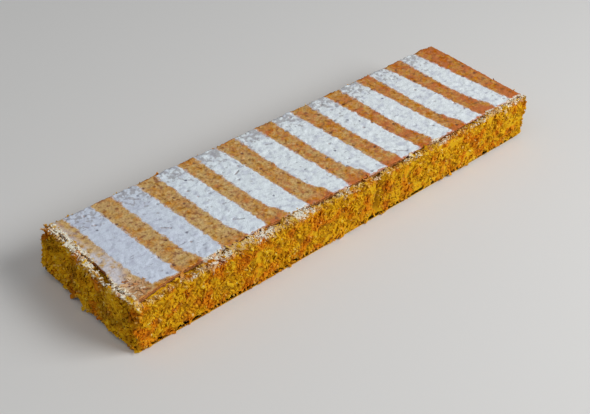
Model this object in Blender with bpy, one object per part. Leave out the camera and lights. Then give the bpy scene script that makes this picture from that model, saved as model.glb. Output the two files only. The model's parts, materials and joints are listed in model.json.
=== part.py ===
"""Mille feuille: a long, uncut block of puff pastry and custard with crumb-coated sides.

Two pieces are made. The block is one solid with uneven sides, a rounded rim of crumbs and a flat
shelf inside that rim. The baked pastry sheet lies on the shelf and closes the top.

Sizes are in metres. +X runs along the length from the near end to the far end, -Y is the front
long side, +Z is up, and the origin is the middle of the base.
"""

import math

import bmesh
import bpy
from mathutils import Vector, noise

# Overall size, from crumb to crumb.
LENGTH = 0.420
WIDTH = 0.110
HEIGHT = 0.042

# How far the crumb coat stands out past the pastry sheet on each side.
COAT_NEAR = 0.0045
COAT_FAR = 0.0022
COAT_FRONT = 0.0062
COAT_BACK = 0.0022

# The near end bows outward: how far, where along the width, and over what length it fades.
NEAR_BOW = 0.0050
NEAR_BOW_CENTRE = -0.024
NEAR_BOW_HALF_WIDTH = 0.032
NEAR_BOW_START = -0.150
NEAR_BOW_RUN = 0.045
# The sheet's front edge stands further back along one stretch, which leaves the rim wider there:
# how far, over which lengths it rises and falls, and over what width it fades.
SET_BACK = 0.0046
SET_BACK_RISE = (-0.212, -0.160)
SET_BACK_FALL = (0.030, -0.095)
SET_BACK_START = -0.010
SET_BACK_RUN = 0.030

# The baked sheet: its thickness, how much its top buckles and how deep its edge is chipped.
SHEET_THICKNESS = 0.0042
SHEET_BUCKLE = 0.0008
SHEET_CHIPPING = 0.0013
CHIP_SPACING = 0.011
# The split that has opened between the sheet's near edge and the crumbs.
SPLIT_DEPTH = 0.0019
SPLIT_CENTRE = -0.009
SPLIT_HALF_WIDTH = 0.013
SHEET_STEPS_LONG = 64
SHEET_STEPS_SHORT = 16
# The sheet's layered edge, from the top down: (drop below the top, set back from the edge).
SHEET_LAYERS = ((0.0012, 0.0006), (0.0021, 0.0))

# Clear space between the sheet and the block, under the sheet and round it.
GAP = 0.0003
EDGE_GAP = 0.0005

# Stations round the block's outline.
STEPS_LONG = 66
STEPS_SHORT = 15
STEPS_CORNER = 4
CORNER_RADIUS = 0.0020
SHELF_CORNER_RADIUS = 0.0006

# The coated side, ring by ring from the flat base to the rim's inner edge. The coat stops short of
# the base, over a foot that is set back: (share of the coat's reach, share of the rim's height).
SIDE_RINGS = (
    (0.42, 0.00),
    (0.46, 0.05),
    (0.94, 0.085),
    (1.00, 0.17),
    (1.00, 0.35),
    (1.00, 0.53),
    (0.98, 0.71),
    (0.93, 0.87),
    (0.76, 0.96),
    (0.42, 1.00),
    (0.00, 0.98),
)

# Height of the crumb rim, how much it varies, and the least it may stand above the shelf.
RIM_HEIGHT = 0.0391
RIM_WAVE = 0.0010
RIM_LEAST = 0.0005
# How much higher the rim is heaped along the near end.
NEAR_HEAP = 0.0014
# Dips and heaps of the front rim: (share of the length, extra height, half width).
FRONT_HEAPS = (
    (0.08, -0.0014, 0.022),
    (0.22, 0.0011, 0.036),
    (0.375, 0.0022, 0.011),
    (0.893, 0.0019, 0.010),
)

# Lumps in the coat: (depth, spacing). Each is a layer of smooth noise.
COAT_LUMPS = ((0.0015, 0.034), (0.0013, 0.013))
# The share of their depth that the lumps keep where the coat is thin, on the back and far sides.
THIN_COAT_LUMPS = 0.45
# The crease pressed into the front side.
CREASE_PLACE = 0.563
CREASE_DEPTH = 0.0028
CREASE_HALF_WIDTH = 0.0045
# Single bulges and hollows of the coat: (centre, depth outward, half width). A bulge low on the
# back corner of the near end, a hollow above it, and crumbs spilled down over the front corner's foot.
CORNER_LUMPS = (
    (Vector((-0.2060, 0.0480, 0.0170)), 0.0030, 0.0120),
    (Vector((-0.2060, 0.0540, 0.0315)), -0.0026, 0.0055),
    (Vector((-0.2045, -0.0535, 0.0000)), 0.0034, 0.0080),
)
# The outermost part of each side, inside which the furthest lumps are pressed back to size.
PRESSED_DEPTH = 0.0022

SHEET_COLOUR = (0.45, 0.24, 0.09, 1.0)
SHEET_ROUGHNESS = 0.75
COAT_COLOUR = (0.56, 0.29, 0.04, 1.0)
COAT_ROUGHNESS = 0.85

# The block's limits in plan, then the straight plan before the near end is bowed: corners of the
# coat's face, of the sheet and of the shelf round it.
BLOCK_LOW = Vector((-LENGTH / 2, -WIDTH / 2))
BLOCK_HIGH = Vector((LENGTH / 2, WIDTH / 2))
FACE_LOW = BLOCK_LOW + Vector((NEAR_BOW, 0.0))
SHEET_LOW = FACE_LOW + Vector((COAT_NEAR, COAT_FRONT))
SHEET_HIGH = BLOCK_HIGH - Vector((COAT_FAR, COAT_BACK))
SHELF_LOW = SHEET_LOW - Vector((EDGE_GAP, EDGE_GAP))
SHELF_HIGH = SHEET_HIGH + Vector((EDGE_GAP, EDGE_GAP))
SHEET_BASE = HEIGHT - SHEET_BUCKLE - SHEET_THICKNESS
SHELF_HEIGHT = SHEET_BASE - GAP


def clear_scene():
    for obj in list(bpy.data.objects):
        bpy.data.objects.remove(obj)


def bell(distance, half_width):
    """1 at the centre, falling smoothly to nearly 0 at twice the half width."""
    return math.exp(-((distance / half_width) ** 2))


def ease(share):
    """Rises smoothly from 0 to 1 as the share does."""
    share = min(max(share, 0.0), 1.0)
    return share * share * (3 - 2 * share)


def between(value, ends):
    """Rises smoothly from 0 to 1 as the value passes from one end to the other."""
    return ease((value - ends[0]) / (ends[1] - ends[0]))


def warp(plan, reach):
    """Bends a point of the straight plan to the block's own, from the sheet's edge to the coat's face."""
    near = ease((NEAR_BOW_START - plan.x) / NEAR_BOW_RUN)
    front = ease((SET_BACK_START - plan.y) / SET_BACK_RUN) * (1 - reach)
    bow = NEAR_BOW * near * bell(plan.y - NEAR_BOW_CENTRE, NEAR_BOW_HALF_WIDTH)
    step = SET_BACK * front * between(plan.x, SET_BACK_RISE) * between(plan.x, SET_BACK_FALL)
    return Vector((plan.x - bow, plan.y + step))


def outline(low, high, radius):
    """Points and outward directions round a rectangle with round corners, anticlockwise."""
    centres = (
        (high.x - radius, low.y + radius),
        (high.x - radius, high.y - radius),
        (low.x + radius, high.y - radius),
        (low.x + radius, low.y + radius),
    )
    stations = []
    for side, centre in enumerate(centres):
        before = Vector(centres[side - 1])
        here = Vector(centre)
        steps = STEPS_LONG if side % 2 == 0 else STEPS_SHORT
        facing = math.radians(90 * side - 90)
        outward = Vector((math.cos(facing), math.sin(facing)))
        for step in range(steps):
            point = before.lerp(here, step / steps) + outward * radius
            stations.append((point, outward))
        for step in range(STEPS_CORNER):
            angle = facing + math.radians(90) * step / STEPS_CORNER
            outward = Vector((math.cos(angle), math.sin(angle)))
            stations.append((here + outward * radius, outward))
    return stations


def rim_height(point):
    """Height of the crumb rim's crest above the base, at one place in plan."""
    height = RIM_HEIGHT + RIM_WAVE * noise.noise((point.x / 0.019, point.y / 0.019, 4.7))
    if point.y < SHEET_LOW.y:
        for share, extra, half_width in FRONT_HEAPS:
            place = (share - 0.5) * LENGTH
            height += extra * bell(point.x - place, half_width)
    elif point.x < SHEET_LOW.x:
        height += NEAR_HEAP
    return max(height, SHELF_HEIGHT + RIM_LEAST)


def coat_lump(point):
    """How far the coat stands out or in at one point of the side, before it is trimmed to size."""
    lump = 0.0
    for depth, spacing in COAT_LUMPS:
        lump += depth * noise.noise(point / spacing)
    if point.y < SHEET_LOW.y:
        place = (CREASE_PLACE - 0.5) * LENGTH
        lump -= CREASE_DEPTH * bell(point.x - place, CREASE_HALF_WIDTH)
    if point.x > SHEET_HIGH.x or point.y > SHEET_HIGH.y:
        lump *= THIN_COAT_LUMPS
    return lump


def corner_lump(point):
    """How far the single bulges and hollows carry one point of the side out or in."""
    return sum(depth * bell((point - centre).length, spread) for centre, depth, spread in CORNER_LUMPS)


def ring_points(reach, height_share):
    """One ring of the coated side: from the shelf's edge at reach 0 to the outer face at 1."""
    low = SHELF_LOW.lerp(FACE_LOW, reach)
    high = SHELF_HIGH.lerp(BLOCK_HIGH, reach)
    radius = SHELF_CORNER_RADIUS + (CORNER_RADIUS - SHELF_CORNER_RADIUS) * reach
    points = []
    for plan, outward in outline(low, high, radius):
        point = Vector((plan.x, plan.y, height_share * rim_height(plan)))
        shift = outward * (coat_lump(point) * reach + corner_lump(point))
        bent = warp(plan, reach) + shift
        points.append(Vector((bent.x, bent.y, point.z)))
    return points


def shelf_points():
    plans = outline(SHELF_LOW, SHELF_HIGH, SHELF_CORNER_RADIUS)
    bent = [warp(plan, 0.0) for plan, _ in plans]
    return [Vector((plan.x, plan.y, SHELF_HEIGHT)) for plan in bent]


def trim_coat(rings):
    """Presses back each side's furthest lumps until the outermost one meets the overall size."""
    for axis in (0, 1):
        for limit in (BLOCK_LOW[axis], BLOCK_HIGH[axis]):
            side = math.copysign(1.0, limit)
            start = limit * side - PRESSED_DEPTH
            outer = [point for ring in rings for point in ring if point[axis] * side > start]
            furthest = max(point[axis] * side for point in outer)
            scale = PRESSED_DEPTH / (furthest - start)
            for point in outer:
                point[axis] = side * (start + (point[axis] * side - start) * scale)


def loft(bm, rings):
    """Raises one closed ring of edges through every list of points, and caps both ends flat."""
    station = bm.verts.layers.int.new("station")
    circle = bmesh.ops.create_circle(bm, cap_ends=False, segments=len(rings[0]), radius=1.0)
    for number, vert in enumerate(circle["verts"]):
        vert[station] = number
    edges = list(bm.edges)
    for points in rings:
        if points is not rings[0]:
            raised = bmesh.ops.extrude_edge_only(bm, edges=edges)["geom"]
            edges = [e for e in raised if isinstance(e, bmesh.types.BMEdge) and e.is_boundary]
        for vert in {vert for edge in edges for vert in edge.verts}:
            vert.co = points[vert[station]]
    bmesh.ops.holes_fill(bm, edges=[e for e in bm.edges if e.is_boundary], sides=0)


def sheet_buckle(x, y):
    """Gentle waves of the baked sheet, from about -1 to 1."""
    long_wave = noise.noise((x / 0.075, y / 0.045, 2.3))
    blisters = noise.noise((x / 0.021, y / 0.019, 7.9))
    return 0.7 * long_wave + 0.3 * blisters


def inward(co):
    """Direction in from the sheet's edge, for a point that lies along that edge."""
    border = 2.5 * SHEET_CHIPPING
    direction = Vector((0.0, 0.0, 0.0))
    for axis in (0, 1):
        if co[axis] < SHEET_LOW[axis] + border:
            direction[axis] = 1.0
        if co[axis] > SHEET_HIGH[axis] - border:
            direction[axis] = -1.0
    return direction


def shape_sheet(bm):
    """A buckled grid whose chipped border is drawn down in layers to a flat underside."""
    bmesh.ops.create_grid(bm, x_segments=SHEET_STEPS_LONG, y_segments=SHEET_STEPS_SHORT, size=0.5)
    size = SHEET_HIGH - SHEET_LOW
    middle = (SHEET_HIGH + SHEET_LOW) / 2
    bmesh.ops.scale(bm, vec=(size.x, size.y, 1.0), verts=bm.verts)
    bmesh.ops.translate(bm, vec=(middle.x, middle.y, 0.0), verts=bm.verts)
    for vert in bm.verts:
        if vert.is_boundary:
            chip = 0.5 + 0.5 * noise.noise(vert.co / CHIP_SPACING)
            vert.co += inward(vert.co) * SHEET_CHIPPING * min(max(chip, 0.0), 1.0)
        vert.co.z = SHEET_BUCKLE * sheet_buckle(vert.co.x, vert.co.y)
    lift = HEIGHT - max(vert.co.z for vert in bm.verts)
    bmesh.ops.translate(bm, vec=(0.0, 0.0, lift), verts=bm.verts)

    edges = [edge for edge in bm.edges if edge.is_boundary]
    last_drop, last_set_back = 0.0, 0.0
    for drop, set_back in SHEET_LAYERS + ((None, 0.0),):
        lowered = bmesh.ops.extrude_edge_only(bm, edges=edges)["geom"]
        edges = [e for e in lowered if isinstance(e, bmesh.types.BMEdge) and e.is_boundary]
        for vert in {vert for edge in edges for vert in edge.verts}:
            vert.co += inward(vert.co) * (set_back - last_set_back)
            if drop is None:
                vert.co.z = SHEET_BASE
            else:
                vert.co.z -= drop - last_drop
        last_drop, last_set_back = drop, set_back
    bmesh.ops.holes_fill(bm, edges=edges, sides=0)
    for vert in bm.verts:
        near = ease((NEAR_BOW_START - vert.co.x) / NEAR_BOW_RUN)
        split = SPLIT_DEPTH * near * bell(vert.co.y - SPLIT_CENTRE, SPLIT_HALF_WIDTH)
        bent = warp(vert.co.xy, 0.0)
        vert.co = (bent.x + split, bent.y, vert.co.z)


def finish_piece(name, bm, colour, roughness, collection):
    """Turns the faces outward and makes the named object with its own material."""
    bmesh.ops.recalc_face_normals(bm, faces=bm.faces)
    mesh = bpy.data.meshes.new(name)
    bm.to_mesh(mesh)
    bm.free()
    mesh.shade_smooth()
    mesh.set_sharp_from_angle(angle=math.radians(40))
    material = bpy.data.materials.new(name)
    material.use_nodes = True
    shader = material.node_tree.nodes["Principled BSDF"]
    shader.inputs["Base Color"].default_value = colour
    shader.inputs["Roughness"].default_value = roughness
    shader.inputs["Metallic"].default_value = 0.0
    mesh.materials.append(material)
    piece = bpy.data.objects.new(name, mesh)
    collection.objects.link(piece)
    return piece


def make_block(collection):
    rings = [ring_points(reach, share) for reach, share in SIDE_RINGS]
    trim_coat(rings)
    bm = bmesh.new()
    loft(bm, rings + [shelf_points()])
    return finish_piece("crumb_coated_block", bm, COAT_COLOUR, COAT_ROUGHNESS, collection)


def make_sheet(collection):
    bm = bmesh.new()
    shape_sheet(bm)
    return finish_piece("top_pastry_sheet", bm, SHEET_COLOUR, SHEET_ROUGHNESS, collection)


def main():
    clear_scene()
    collection = bpy.data.collections.new("mille_feuille")
    bpy.context.scene.collection.children.link(collection)
    make_block(collection)
    make_sheet(collection)


main()
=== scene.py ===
"""Mille feuille: the looks of a long, uncut block of puff pastry and custard, built round its CAD solids.

Metres, +X along the block from the near end to the far end, -Y the front long side, +Z up.
"""

import json
import math

import bmesh
import bpy
from mathutils import Matrix, Vector, noise
from mathutils.bvhtree import BVHTree

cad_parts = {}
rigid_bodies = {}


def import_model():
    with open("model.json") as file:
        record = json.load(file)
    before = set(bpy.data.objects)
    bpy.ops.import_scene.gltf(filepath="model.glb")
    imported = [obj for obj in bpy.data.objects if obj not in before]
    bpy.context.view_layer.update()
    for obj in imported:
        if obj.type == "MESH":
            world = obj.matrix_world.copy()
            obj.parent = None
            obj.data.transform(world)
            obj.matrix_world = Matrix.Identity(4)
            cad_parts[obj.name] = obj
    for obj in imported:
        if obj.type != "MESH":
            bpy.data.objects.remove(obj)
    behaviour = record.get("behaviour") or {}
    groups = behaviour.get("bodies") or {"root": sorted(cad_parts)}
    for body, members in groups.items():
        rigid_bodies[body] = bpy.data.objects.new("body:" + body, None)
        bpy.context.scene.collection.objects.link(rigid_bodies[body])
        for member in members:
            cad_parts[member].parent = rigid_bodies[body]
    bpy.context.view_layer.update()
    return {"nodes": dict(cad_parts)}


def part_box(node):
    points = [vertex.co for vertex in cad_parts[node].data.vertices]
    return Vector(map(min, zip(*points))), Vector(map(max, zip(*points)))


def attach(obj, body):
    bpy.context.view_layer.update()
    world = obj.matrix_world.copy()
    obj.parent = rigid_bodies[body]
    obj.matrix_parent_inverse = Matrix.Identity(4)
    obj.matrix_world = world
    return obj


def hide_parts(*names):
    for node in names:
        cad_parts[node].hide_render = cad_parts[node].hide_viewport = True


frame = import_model()


# ---------------------------------------------------------------------------------------------
# The custard block. Layers of puff pastry and set custard are pressed into one long block, and
# all four sides are spread with custard so that crumbs stick. Its own surface shows only between
# the crumbs, as lumps sunk in custard, with painted shade darkening the gaps between the lumps
# and the crease, and a painted shadow at the foot.
# ---------------------------------------------------------------------------------------------
MM = 0.001
block_low, block_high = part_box("crumb_coated_block")
sheet_low, sheet_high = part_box("top_pastry_sheet")

# How far the crumbs stand out past the pastry sheet at the near, far, front and back sides.
NEAR_COAT, FAR_COAT, FRONT_COAT, BACK_COAT = 4.5 * MM, 2.2 * MM, 6.2 * MM, 2.2 * MM
# The near end bows out round one place, and fades into the straight sides.
BOW, BOW_CENTRE, BOW_SPREAD = 5.0 * MM, -24.0 * MM, 32.0 * MM
BOW_START, BOW_RUN = -150.0 * MM, 45.0 * MM
# One stretch of the sheet's front edge stands further back than the rest.
STEP, STEP_START, STEP_RUN = 4.6 * MM, -10.0 * MM, 30.0 * MM
STEP_RISE, STEP_FALL = (-212.0 * MM, -160.0 * MM), (30.0 * MM, -95.0 * MM)
# A split has opened between the sheet's near edge and the crumbs.
SPLIT_DEPTH, SPLIT_CENTRE, SPLIT_SPREAD = 2.6 * MM, -8.5 * MM, 11.0 * MM
face_low = Vector((block_low.x + BOW, block_low.y, 0.0))
face_high = Vector((block_high.x, block_high.y, 0.0))
plate_low = face_low + Vector((NEAR_COAT, FRONT_COAT, 0.0))
plate_high = face_high - Vector((FAR_COAT, BACK_COAT, 0.0))
shelf_margin = Vector((0.5 * MM, 0.5 * MM, 0.0))
shelf_height = sheet_low.z - 0.3 * MM

STEPS_LONG, STEPS_SHORT, STEPS_CORNER = 440, 112, 10
OUTER_CORNER, SHELF_CORNER = 2.0 * MM, 0.6 * MM
# The block's own face lies this far under the tips of the crumbs, and less where the coat is thin.
COAT_DEPTH = 1.2 * MM
THIN_SHARE = 0.55
RIM_DEPTH = 0.7 * MM
SIDE_ROW = 0.86 * MM
SIDE_TOP = 36.4 * MM
CREASE_PLACE, CREASE_SPREAD = 26.5 * MM, 2.0 * MM
# The rim's rows, as shares of the way from the shelf's edge to the top of the side.
RIM_ROWS = (0.90, 0.78, 0.66, 0.54, 0.42, 0.28, 0.15, 0.04)
CLEAR = 20 * MM
# Sizes of the coat's relief: clumps of crumbs, lumps within a clump, and grit.
CLUMP, LUMP, GRIT = 8.5 * MM, 3.4 * MM, 1.2 * MM
# Crumbs have spilled down over the foot at the near front corner.
foot_spill, FOOT_SPILL = Vector((-204.5 * MM, -53.5 * MM, 0.0)), 4.0 * MM
# Crumbs are heaped up against the sheet's edge: here and there along the front past the near corner,
# and all along the near end except at the split.
HEAPED_FROM, HEAPED_TO, RIM_HEAP = -172.0 * MM, -140.0 * MM, 1.7 * MM
# Past that corner the crumbs stop lower, and leave the sheet's cut edge bare.
BARE_CENTRE, BARE_SPREAD, BARE_DROP = -178.0 * MM, 25.0 * MM, 2.5 * MM
NEAR_HEAP = 1.9 * MM
# The tops of the heaps flatten out over this much height, and stay as far again under the sheet's top.
HEAP_EASE = 0.9 * MM


def surface_of(node):
    """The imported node's surface, ready for rays to be cast at it."""
    shell = bmesh.new()
    shell.from_mesh(frame["nodes"][node].data)
    tree = BVHTree.FromBMesh(shell)
    shell.free()
    return tree


def smooth_step(low, high, value):
    """0 below low and 1 above high, with a smooth rise between."""
    share = min(max((value - low) / (high - low), 0.0), 1.0)
    return share * share * (3 - 2 * share)


def eased(height, start, room):
    """A height kept below start + room: what is above start is pressed flatter and flatter."""
    past = max(height - start, 0.0)
    return min(height, start) + room * past / (room + past)


def bell(distance, spread):
    return math.exp(-((distance / spread) ** 2))


def step_back(along):
    """How far back the sheet's front edge stands at one place along it."""
    return STEP * smooth_step(*STEP_RISE, along) * smooth_step(*STEP_FALL, along)


def bent(plan, reach):
    """A point of the straight plan moved to the block's own: reach 0 is the shelf, 1 the coat's face."""
    bow = BOW * bell(plan.y - BOW_CENTRE, BOW_SPREAD) * smooth_step(0, BOW_RUN, BOW_START - plan.x)
    step = step_back(plan.x) * smooth_step(0, STEP_RUN, STEP_START - plan.y)
    return Vector((plan.x - bow, plan.y + step * (1 - reach), 0.0))


def outline(reach):
    """Plan points and outward directions round the coat, from the shelf's edge to the outer face."""
    low = (plate_low - shelf_margin).lerp(face_low, reach)
    high = (plate_high + shelf_margin).lerp(face_high, reach)
    radius = SHELF_CORNER + (OUTER_CORNER - SHELF_CORNER) * reach
    centres = [
        Vector((high.x - radius, low.y + radius, 0.0)),
        Vector((high.x - radius, high.y - radius, 0.0)),
        Vector((low.x + radius, high.y - radius, 0.0)),
        Vector((low.x + radius, low.y + radius, 0.0)),
    ]
    stations = []
    for side, centre in enumerate(centres):
        steps = STEPS_SHORT if side % 2 else STEPS_LONG
        facing = math.radians(90 * side - 90)
        outward = Vector((math.cos(facing), math.sin(facing), 0.0))
        for step in range(steps):
            plan = centres[side - 1].lerp(centre, step / steps) + outward * radius
            stations.append((bent(plan, reach), outward))
        for step in range(STEPS_CORNER):
            angle = facing + math.radians(90) * step / STEPS_CORNER
            outward = Vector((math.cos(angle), math.sin(angle), 0.0))
            stations.append((bent(centre + outward * radius, reach), outward))
    return stations


def coat_share(outward):
    """1 where the coat is thick, and THIN_SHARE on the back and far sides."""
    return 1 - (1 - THIN_SHARE) * smooth_step(0.2, 0.8, max(outward.x, outward.y))


def loft(bm, rings):
    """Raises a ring of edges through each list of points, and closes both ends with one face."""
    station = bm.verts.layers.int.new("station")
    circle = bmesh.ops.create_circle(bm, cap_ends=False, segments=len(rings[0]), radius=1.0)
    for number, vert in enumerate(circle["verts"]):
        vert[station] = number
    edges = list(bm.edges)
    for points in rings:
        if points is not rings[0]:
            raised = bmesh.ops.extrude_edge_only(bm, edges=edges)["geom"]
            edges = [e for e in raised if isinstance(e, bmesh.types.BMEdge) and e.is_boundary]
        for vert in {vert for edge in edges for vert in edge.verts}:
            vert.co = points[vert[station]]
    bmesh.ops.holes_fill(bm, edges=[e for e in bm.edges if e.is_boundary], sides=0)
    bmesh.ops.recalc_face_normals(bm, faces=bm.faces)
    return station


def block_rings():
    solid = surface_of("crumb_coated_block")
    rings = []
    rows = round(SIDE_TOP / SIDE_ROW)
    for row in range(rows + 1):
        height = max(SIDE_TOP * row / rows, 0.05 * MM)
        ring = []
        for plan, outward in outline(1.0):
            start = Vector((plan.x, plan.y, height)) + outward * CLEAR
            hit = solid.ray_cast(start, -outward)[0]
            face = Vector((hit.x, hit.y, height if row else 0.0))
            ring.append(face - outward * COAT_DEPTH * coat_share(outward))
        rings.append(ring)
    inner, outer = outline(0.0), rings[-1]
    for share in RIM_ROWS:
        ring = []
        for (edge, _), face in zip(inner, outer):
            above = edge.lerp(face, share)
            above.z = block_high.z + CLEAR
            hit = solid.ray_cast(above, Vector((0, 0, -1)))[0]
            ring.append(hit - Vector((0, 0, RIM_DEPTH)))
        rings.append(ring)
    rings.append([Vector((plan.x, plan.y, shelf_height)) for plan, _ in inner])
    return rings


def custard_share(place):
    """1 where custard lies smooth over the crumbs, 0 where crumbs cover it. It is barer towards the far end."""
    patches = noise.noise(place / (13 * MM)) + 0.35 * noise.noise(place / (4 * MM))
    patches += 0.22 * smooth_step(-80 * MM, 60 * MM, place.x) - 0.04
    patches += 0.14 * smooth_step(-196 * MM, -203 * MM, place.x)
    beside_crease = bell(place.x - CREASE_PLACE + 5 * MM, 3 * MM) * smooth_step(0, 5 * MM, -place.y - 40 * MM)
    return max(smooth_step(0.30, 0.52, patches), 0.8 * beside_crease)


def crease_share(place):
    """1 along the crease pressed into the front side, which stops short of the foot."""
    wander = 1.5 * MM * noise.noise(Vector((0.5, 0.5, place.z / (9 * MM))))
    front = smooth_step(-44 * MM, -48 * MM, place.y) * smooth_step(4 * MM, 12 * MM, place.z)
    return front * bell(place.x - CREASE_PLACE - wander, CREASE_SPREAD)


def rim_heap(place, outward):
    """How much higher the crumbs are heaped at one place of the rim."""
    along_front = smooth_step(HEAPED_FROM, HEAPED_TO, place.x) * smooth_step(0.3, 0.8, -outward.y)
    uneven = 0.35 + 0.65 * smooth_step(-0.2, 0.2, noise.noise(Vector((place.x / (17 * MM), 3.3, 0.0))))
    at_near_end = smooth_step(0.3, 0.8, -outward.x) * (1 - bell(place.y - SPLIT_CENTRE, 1.3 * SPLIT_SPREAD))
    return RIM_HEAP * along_front * uneven + NEAR_HEAP * at_near_end


def lump_height(place, size):
    """0 in the gap between two lumps, rising to about 1 on top of each."""
    near, next_near = noise.voronoi(place / size)[0][:2]
    return smooth_step(0.0, 0.55, next_near - near)


def settled(name, bm):
    """The finished mesh, with its faces and edges in one order, so that crumbs fall alike every time."""

    def rank(part):
        corners = [vert.index for vert in part.verts]
        return min(corners) * len(bm.verts) + sum(corners)

    bm.verts.index_update()
    for parts in (bm.faces, bm.edges):
        parts.sort(key=rank)
        parts.index_update()
    mesh = bpy.data.meshes.new(name)
    bm.to_mesh(mesh)
    bm.free()
    return mesh


def finished(name, bm, material):
    """Makes the named object of a finished mesh, with its material."""
    mesh = settled(name, bm)
    mesh.shade_smooth()
    mesh.materials.append(material)
    piece = bpy.data.objects.new(name, mesh)
    bpy.context.scene.collection.objects.link(piece)
    return piece


def new_material(name, roughness, specular):
    """A Principled material and a way to add nodes to it: returns (material, add, shader)."""
    material = bpy.data.materials.new(name)
    material.use_nodes = True
    tree = material.node_tree
    shader = tree.nodes["Principled BSDF"]
    shader.inputs["Roughness"].default_value = roughness
    shader.inputs["Specular IOR Level"].default_value = specular
    return material, node_adder(tree), shader


def node_adder(tree):
    """Returns add(kind, settings, inputs): a linked socket is joined, and any other value is set."""

    def add(kind, settings=(), inputs=()):
        node = tree.nodes.new(kind)
        for key, value in dict(settings).items():
            setattr(node, key, value)
        for key, value in dict(inputs).items():
            if isinstance(value, bpy.types.NodeSocket):
                tree.links.new(value, node.inputs[key])
            else:
                node.inputs[key].default_value = value
        return node

    return add


def ramp(add, value, stops):
    """A colour ramp over a value: stops are (place, colour) with the colour in linear light."""
    node = add("ShaderNodeValToRGB", inputs={"Fac": value})
    elements = node.color_ramp.elements
    for place, colour in stops[2:]:
        elements.new(place)
    for element, (place, colour) in zip(elements, stops):
        element.position = place
        element.color = (*colour, 1.0)
    return node.outputs["Color"]


def mix(add, share, first, second, blend="MIX"):
    """Colours mixed by a share, from first at 0 to second at 1."""
    settings = {"data_type": "RGBA", "blend_type": blend, "clamp_factor": True}
    node = add("ShaderNodeMix", settings, {0: share, 6: first, 7: second})
    return node.outputs[2]


def paint(red, green, blue):
    """A paint-chip colour, 0 to 255, as linear light."""
    shares = [channel / 255 for channel in (red, green, blue)]
    return tuple(s / 12.92 if s < 0.04045 else ((s + 0.055) / 1.055) ** 2.4 for s in shares)


def spread(add, value, low, high):
    """A value stretched smoothly so that low becomes 0 and high becomes 1."""
    node = add("ShaderNodeMapRange", {"interpolation_type": "SMOOTHSTEP"}, {0: value, 1: low, 2: high, 3: 0.0, 4: 1.0})
    return node.outputs[0]


def times(add, first, second):
    return add("ShaderNodeMath", {"operation": "MULTIPLY"}, {0: first, 1: second}).outputs[0]


def join(add, output, socket):
    socket.id_data.links.new(output, socket)


def shade_group(name, inputs, outputs):
    """An empty shader node group: inputs are (name, type, default), outputs are (name, type)."""
    group = bpy.data.node_groups.new(name, "ShaderNodeTree")
    for socket, kind, default in inputs:
        group.interface.new_socket(socket, in_out="INPUT", socket_type=kind).default_value = default
    for socket, kind in outputs:
        group.interface.new_socket(socket, in_out="OUTPUT", socket_type=kind)
    return group


def make_clouds():
    """Soft, uneven patches between 0 and 1: a low scale makes broad patches, a high one fine grain."""
    group = shade_group("clouds", [
        ("Scale", "NodeSocketFloat", 200.0), ("Detail", "NodeSocketFloat", 2.0),
    ], [("Value", "NodeSocketFloat")])
    add = node_adder(group)
    given = add("NodeGroupInput").outputs
    place = add("ShaderNodeTexCoord").outputs["Object"]
    patches = add("ShaderNodeTexNoise", inputs={
        "Vector": place, "Scale": given["Scale"], "Detail": given["Detail"],
    })
    add("NodeGroupOutput", inputs={"Value": patches.outputs["Fac"]})
    return group


clouds_group = make_clouds()


def clouds(add, scale, detail):
    return add("ShaderNodeGroup", {"node_tree": clouds_group}, {"Scale": scale, "Detail": detail}).outputs["Value"]


# The sugar stripes' plan, measured from the near end, which the sugar on the crumbs follows too.
STRIPE_FIRST, STRIPE_PITCH, STRIPE_WIDTH = 33.5 * MM, 39.25 * MM, 23.0 * MM
# How far each stripe strays along the block from even spacing, and how much its near edge is cut
# back at the front, in millimetres.
STRIPE_STRAYS = (0, 2, 3, 2, 4, 4, 4, 3, 0, 0)
FRONT_CUTS = (3, 4, 4, 6, 7, 6, 2, 3, 4, 4)
CUT_START, CUT_END = -24.0 * MM, -41.0 * MM
# How much a stripe leans along the block from back to front, and how that grows from one to the next.
LEAN_FIRST, LEAN_GROWTH = 0.010, 0.011
SUGAR_WHITE = paint(250, 246, 228)


def stripe_plan():
    """Each stripe's middle, half width, lean and front cut."""
    plan = []
    for number, (stray, cut) in enumerate(zip(STRIPE_STRAYS, FRONT_CUTS)):
        middle = block_low.x + STRIPE_FIRST + STRIPE_PITCH * number + stray * MM
        uneven = 1 + 0.10 * noise.noise((number * 3.7, 0.5, 0.5))
        plan.append((middle, uneven * STRIPE_WIDTH / 2, LEAN_FIRST + LEAN_GROWTH * number, cut * MM))
    return plan


stripes = stripe_plan()


def stripe_depth(place):
    """How far a place lies inside the nearest sugar stripe, below 0 outside every stripe."""
    depths = []
    front = smooth_step(CUT_START, CUT_END, place.y)
    for middle, half, lean, cut in stripes:
        near_edge = middle - half - lean * min(place.y, 0.0) + cut * front
        far_edge = middle + half - lean * place.y
        depths.append(min(place.x - near_edge, far_edge - place.x))
    return max(depths)


def fallen_sugar(place):
    """How much icing sugar fell past the sheet on to the crumbs: at the stripes' ends and the near end."""
    at_near_end = smooth_step(-198 * MM, -203 * MM, place.x)
    at_far_corner = smooth_step(186 * MM, 194 * MM, place.x) * smooth_step(-40 * MM, -46 * MM, place.y)
    at_near_corner = 0.7 * bell(place.x + 172 * MM, 26 * MM) * smooth_step(-40 * MM, -44 * MM, place.y)
    reach = 2.0 * MM + 2.6 * MM * at_near_end * bell(place.y - 2 * MM, 18 * MM)
    ragged = 1.8 * MM * noise.noise(place / (4 * MM))
    high = smooth_step(38.8 * MM - reach, 39.2 * MM, place.z + ragged)
    at_stripe = smooth_step(-3.0 * MM, 1.5 * MM, stripe_depth(place))
    return high * max(at_stripe, at_near_end, at_far_corner, at_near_corner, 0.25)


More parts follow.
